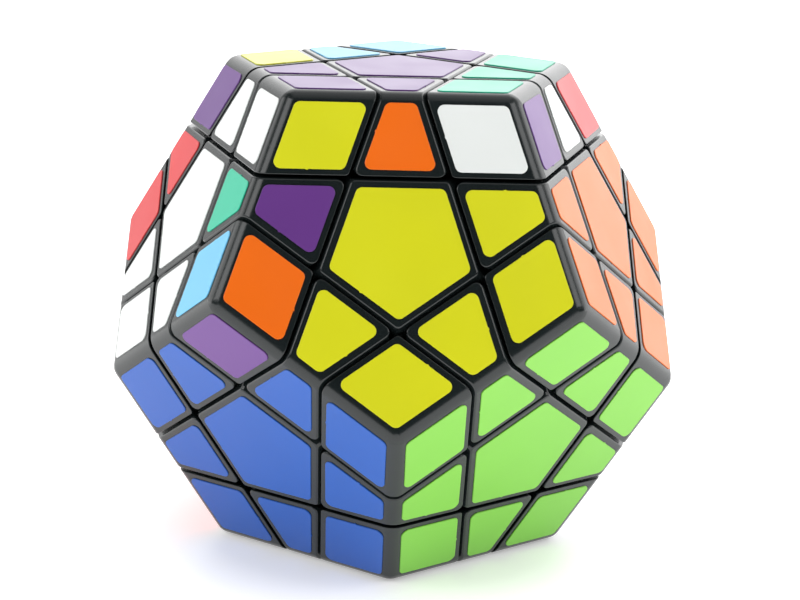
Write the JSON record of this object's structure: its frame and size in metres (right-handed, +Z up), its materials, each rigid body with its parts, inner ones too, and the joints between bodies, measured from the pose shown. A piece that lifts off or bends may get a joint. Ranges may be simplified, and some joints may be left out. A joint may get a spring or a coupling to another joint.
{
  "type": "dodecahedron twisty puzzle",
  "caption": "Twelve-sided twisty puzzle in black plastic with coloured stickers; its face layers turn about a sprung core.",
  "frame": {"origin": "middle of the bottom face, on the outside of its stickers", "axes": "+Z up through the top face, -Y out of the side that carries the front face, +X to the right"},
  "size_m": [0.0804, 0.0844, 0.0693],
  "materials": {
    "piece_plastic": "satin black ABS mouldings",
    "core_plastic": "moulded dark nylon core",
    "screw_steel": "zinc-plated screws and washers",
    "spring_steel": "bright spring wire",
    "sticker_vinyl": "glossy die-cut vinyl, one colour a sticker; the yellow stands for all twelve"
  },
  "bodies": {
    "core": {"core": "core_plastic", "tension_screws": "screw_steel", "tension_springs": "spring_steel", "spring_washers": "screw_steel", "edges_fixed": "piece_plastic", "centre_top": "piece_plastic", "centre_right": "piece_plastic", "centre_back_left": "piece_plastic", "centre_left": "piece_plastic", "centre_lower_right": "piece_plastic", "centre_lower_back_right": "piece_plastic", "centre_lower_back": "piece_plastic", "centre_lower_left": "piece_plastic", "centre_bottom": "piece_plastic", "corner_top_back_left_left": "piece_plastic", "corner_right_lower_right_lower_back_right": "piece_plastic", "corner_lower_right_lower_back_right_bottom": "piece_plastic", "corner_lower_right_lower_left_bottom": "piece_plastic", "corner_lower_back_right_lower_back_bottom": "piece_plastic", "caps_fixed": "piece_plastic", "stickers_fixed": "sticker_vinyl"},
    "front_layer": {"centre_front": "piece_plastic", "edge_top_front": "piece_plastic", "edge_front_right": "piece_plastic", "edge_front_left": "piece_plastic", "edge_front_lower_right": "piece_plastic", "edge_front_lower_left": "piece_plastic", "corner_top_front_right": "piece_plastic", "corner_top_front_left": "piece_plastic", "corner_front_right_lower_right": "piece_plastic", "corner_front_left_lower_left": "piece_plastic", "corner_front_lower_right_lower_left": "piece_plastic", "caps_front": "piece_plastic", "stickers_front": "sticker_vinyl"},
    "back_right_layer": {"centre_back_right": "piece_plastic", "edge_top_back_right": "piece_plastic", "edge_right_back_right": "piece_plastic", "edge_back_right_back_left": "piece_plastic", "edge_back_right_lower_back_right": "piece_plastic", "edge_back_right_lower_back": "piece_plastic", "corner_top_right_back_right": "piece_plastic", "corner_top_back_right_back_left": "piece_plastic", "corner_right_back_right_lower_back_right": "piece_plastic", "corner_back_right_back_left_lower_back": "piece_plastic", "corner_back_right_lower_back_right_lower_back": "piece_plastic", "caps_back_right": "piece_plastic", "stickers_back_right": "sticker_vinyl"},
    "lower_back_left_layer": {"centre_lower_back_left": "piece_plastic", "edge_back_left_lower_back_left": "piece_plastic", "edge_left_lower_back_left": "piece_plastic", "edge_lower_back_lower_back_left": "piece_plastic", "edge_lower_back_left_lower_left": "piece_plastic", "edge_lower_back_left_bottom": "piece_plastic", "corner_back_left_left_lower_back_left": "piece_plastic", "corner_back_left_lower_back_lower_back_left": "piece_plastic", "corner_left_lower_back_left_lower_left": "piece_plastic", "corner_lower_back_lower_back_left_bottom": "piece_plastic", "corner_lower_back_left_lower_left_bottom": "piece_plastic", "caps_lower_back_left": "piece_plastic", "stickers_lower_back_left": "sticker_vinyl"}
  },
  "joints": [
    {"name": "front_turn", "type": "hinge", "parent": "core", "child": "front_layer", "pos_m": [0, 0, 0.03465], "axis": [0, -0.8944, 0.4472], "continuous": true},
    {"name": "back_right_turn", "type": "hinge", "parent": "core", "child": "back_right_layer", "pos_m": [0, 0, 0.03465], "axis": [0.5257, 0.7236, 0.4472], "continuous": true},
    {"name": "lower_back_left_turn", "type": "hinge", "parent": "core", "child": "lower_back_left_layer", "pos_m": [0, 0, 0.03465], "axis": [-0.8507, 0.2764, -0.4472], "continuous": true}
  ]
}
